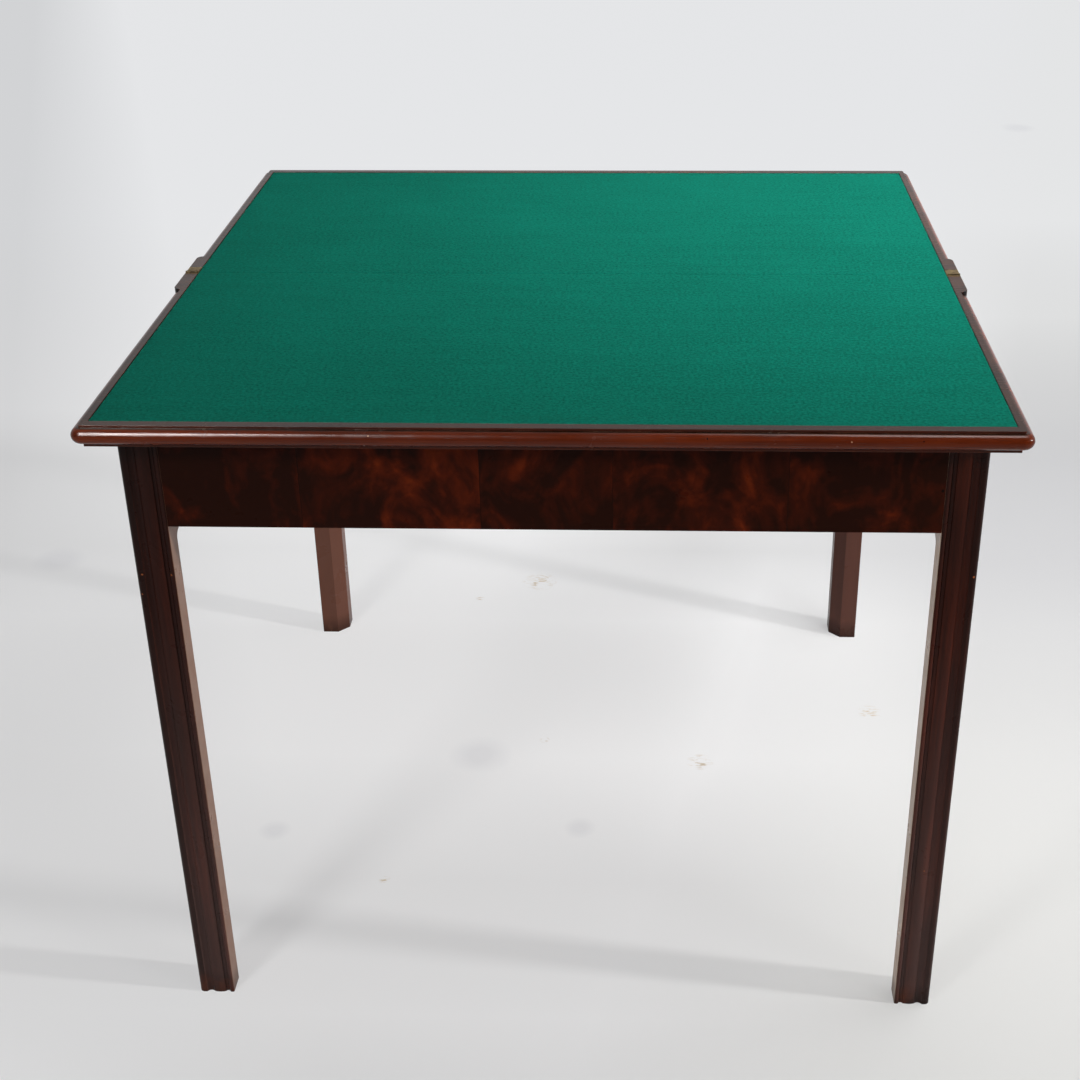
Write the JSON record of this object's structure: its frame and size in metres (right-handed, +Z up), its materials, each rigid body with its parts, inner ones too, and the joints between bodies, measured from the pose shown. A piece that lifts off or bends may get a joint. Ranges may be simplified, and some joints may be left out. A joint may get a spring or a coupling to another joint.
{
  "type": "folding card table",
  "caption": "Square fold-over card table with a baize top, moulded straight legs and a concertina rear frame.",
  "frame": {"origin": "on the floor under the middle of the leaves' hinge line, the centre of the bounding box's bottom face", "axes": "+X to the sitter's right, +Y from the fixed front leaf to the unfolded rear leaf, +Z up"},
  "size_m": [0.915, 0.915, 0.7319],
  "materials": {
    "top_mahogany": "french polished",
    "leg_mahogany": "waxed",
    "rail_mahogany": "waxed",
    "flame_veneer": "polished flame veneer",
    "oak": "dry, unpolished",
    "baize": "napped wool cloth",
    "brass": "aged"
  },
  "bodies": {
    "front_frame": {"left_front_leg": "leg_mahogany", "right_front_leg": "leg_mahogany", "front_rail": "oak", "front_frieze_veneer": "flame_veneer", "left_side_rail": "rail_mahogany", "right_side_rail": "rail_mahogany", "cross_rail": "oak", "leaf_blocks": "oak", "front_corner_blocks": "oak", "slide_keepers": "oak", "lower_leaf": "top_mahogany", "lower_baize": "baize", "left_card_hinge_lower": "brass", "right_card_hinge_lower": "brass", "card_hinge_pins": "brass", "left_front_hinge_rail_leaf": "brass", "right_front_hinge_rail_leaf": "brass", "front_hinge_pins": "brass"},
    "upper_leaf": {"upper_leaf": "top_mahogany", "upper_baize": "baize", "left_card_hinge_upper": "brass", "right_card_hinge_upper": "brass"},
    "left_front_flap": {"left_front_flap": "rail_mahogany", "left_front_hinge_flap_leaf": "brass", "left_middle_hinge_front_leaf": "brass", "left_middle_hinge_pin": "brass"},
    "left_rear_flap": {"left_rear_flap": "rail_mahogany", "left_middle_hinge_rear_leaf": "brass", "left_rear_hinge_flap_leaf": "brass"},
    "right_front_flap": {"right_front_flap": "rail_mahogany", "right_front_hinge_flap_leaf": "brass", "right_middle_hinge_front_leaf": "brass", "right_middle_hinge_pin": "brass"},
    "right_rear_flap": {"right_rear_flap": "rail_mahogany", "right_middle_hinge_rear_leaf": "brass", "right_rear_hinge_flap_leaf": "brass"},
    "rear_frame": {"left_rear_leg": "leg_mahogany", "right_rear_leg": "leg_mahogany", "rear_rail": "rail_mahogany", "rear_corner_blocks": "oak", "left_rear_hinge_leg_leaf": "brass", "right_rear_hinge_leg_leaf": "brass", "rear_hinge_pins": "brass"},
    "bearer_slide": {"bearer_slide": "oak", "slide_cleat": "oak"}
  },
  "joints": [
    {"name": "left_front_fold", "type": "hinge", "parent": "front_frame", "child": "left_front_flap", "pos_m": [-0.4022, -0.1115, 0.659], "axis": [0, 0, -1], "range_deg": [0, 90]},
    {"name": "left_middle_fold", "type": "hinge", "parent": "left_front_flap", "child": "left_rear_flap", "pos_m": [-0.4228, 0.13785, 0.659], "axis": [0, 0, 1], "range_deg": [0, 180]},
    {"name": "left_rear_fold", "type": "hinge", "parent": "left_rear_flap", "child": "rear_frame", "pos_m": [-0.4022, 0.3872, 0.659], "axis": [0, 0, -1], "range_deg": [0, 90]},
    {"name": "right_front_fold", "type": "hinge", "parent": "front_frame", "child": "right_front_flap", "pos_m": [0.4022, -0.1115, 0.659], "axis": [0, 0, 1], "range_deg": [0, 90]},
    {"name": "right_middle_fold", "type": "hinge", "parent": "right_front_flap", "child": "right_rear_flap", "pos_m": [0.4228, 0.13785, 0.659], "axis": [0, 0, -1], "range_deg": [0, 180]},
    {"name": "leaf_fold", "type": "hinge", "parent": "front_frame", "child": "upper_leaf", "pos_m": [0, 0, 0.73015], "axis": [1, 0, 0], "range_deg": [0, 180]},
    {"name": "slide_travel", "type": "slide", "parent": "front_frame", "child": "bearer_slide", "axis": [0, 1, 0], "range_m": [-0.165, 0]}
  ],
  "couplings": [
    {"joint": "left_middle_fold", "follows": "left_front_fold", "ratio": 2},
    {"joint": "left_rear_fold", "follows": "left_front_fold", "ratio": 1},
    {"joint": "right_front_fold", "follows": "left_front_fold", "ratio": 1},
    {"joint": "right_middle_fold", "follows": "left_front_fold", "ratio": 2}
  ]
}
